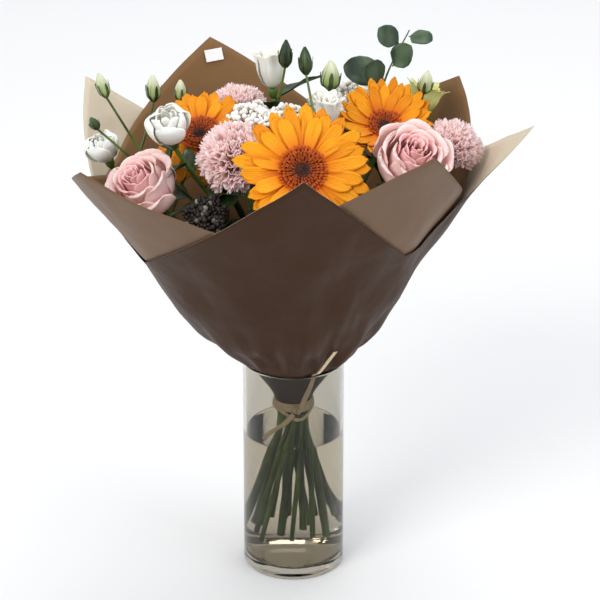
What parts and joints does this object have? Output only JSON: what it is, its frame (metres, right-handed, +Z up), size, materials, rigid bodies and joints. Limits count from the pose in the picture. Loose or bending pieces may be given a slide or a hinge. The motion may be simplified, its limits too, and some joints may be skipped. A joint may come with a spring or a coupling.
{
  "type": "bouquet in a vase",
  "caption": "Upright tied bouquet of mixed cut flowers in a peaked paper wrap, standing in a clear cylinder vase part filled with water.",
  "frame": {"origin": "centre of the vase's underside, on the surface it stands on", "axes": "+Z up along the vase's axis, -Y towards the bouquet's front, +X to the right seen from the front"},
  "size_m": [0.3943, 0.3411, 0.486],
  "materials": {
    "clear_glass": "clear, smooth, thick base",
    "water": "clear still water",
    "wrap_paper_outer": "matt mocha wrapping paper, creased",
    "wrap_paper_inner": "matt taupe side of the wrapping paper, creased",
    "label_card": "plain white card, blank",
    "raffia": "dry pale tan raffia",
    "gerbera_petals": "ribbed amber-orange ray petals",
    "gerbera_disc": "red-brown disc florets with a dark eye",
    "green_stem": "fresh green stem",
    "rose_outer_petals": "cream-pink guard petals",
    "rose_heart": "pink spiralled petals",
    "carnation_petals": "pale pink fringed petals",
    "white_petals": "ivory-white petals",
    "green_petals": "yellow-green ruffled petals",
    "flower_bud": "green-white twisted bud",
    "rice_flower": "tiny papery white flower heads",
    "eucalyptus_leaf": "waxy grey-green leaf",
    "green_leaf": "matt green leaf"
  },
  "bodies": {
    "root": {"vase": "clear_glass", "water": "water", "wrap_outer_sheet": "wrap_paper_outer", "wrap_inner_sheet": "wrap_paper_inner", "blank_label": "label_card", "raffia_tie": "raffia", "raffia_tail_up": "raffia", "raffia_tail_down": "raffia", "gerbera_front_petals": "gerbera_petals", "gerbera_front_disc": "gerbera_disc", "gerbera_front_stem": "green_stem", "gerbera_right_petals": "gerbera_petals", "gerbera_right_disc": "gerbera_disc", "gerbera_right_stem": "green_stem", "gerbera_left_petals": "gerbera_petals", "gerbera_left_disc": "gerbera_disc", "gerbera_left_stem": "green_stem", "rose_left_outer_petals": "rose_outer_petals", "rose_left_heart": "rose_heart", "rose_left_stem": "green_stem", "rose_right_outer_petals": "rose_outer_petals", "rose_right_heart": "rose_heart", "rose_right_stem": "green_stem", "carnation_left_bloom": "carnation_petals", "carnation_left_stem": "green_stem", "carnation_right_bloom": "carnation_petals", "carnation_right_stem": "green_stem", "carnation_back_bloom": "carnation_petals", "carnation_back_stem": "green_stem", "lisianthus_left_bloom": "white_petals", "lisianthus_left_stem": "green_stem", "lisianthus_far_bloom": "white_petals", "lisianthus_far_stem": "green_stem", "lisianthus_back_bloom": "white_petals", "lisianthus_back_stem": "green_stem", "lisianthus_mid_bloom": "white_petals", "lisianthus_mid_stem": "green_stem", "lisianthus_green_bloom": "green_petals", "lisianthus_green_stem": "green_stem", "bud_tall": "flower_bud", "bud_dark": "flower_bud", "bud_left_1": "flower_bud", "bud_left_2": "flower_bud", "bud_back_1": "flower_bud", "bud_back_2": "flower_bud", "bud_back_3": "flower_bud", "bud_right": "flower_bud", "rice_flower_left": "rice_flower", "rice_flower_mid": "rice_flower", "rice_flower_back": "rice_flower", "rice_flower_low": "rice_flower", "lisianthus_side_stem": "green_stem", "eucalyptus_stem": "green_stem", "eucalyptus_leaf_1": "eucalyptus_leaf", "eucalyptus_leaf_2": "eucalyptus_leaf", "eucalyptus_leaf_3": "eucalyptus_leaf", "eucalyptus_leaf_4": "eucalyptus_leaf", "eucalyptus_leaf_5": "eucalyptus_leaf", "rose_leaf_left": "green_leaf", "filler_leaf_left": "green_leaf"}
  },
  "joints": []
}
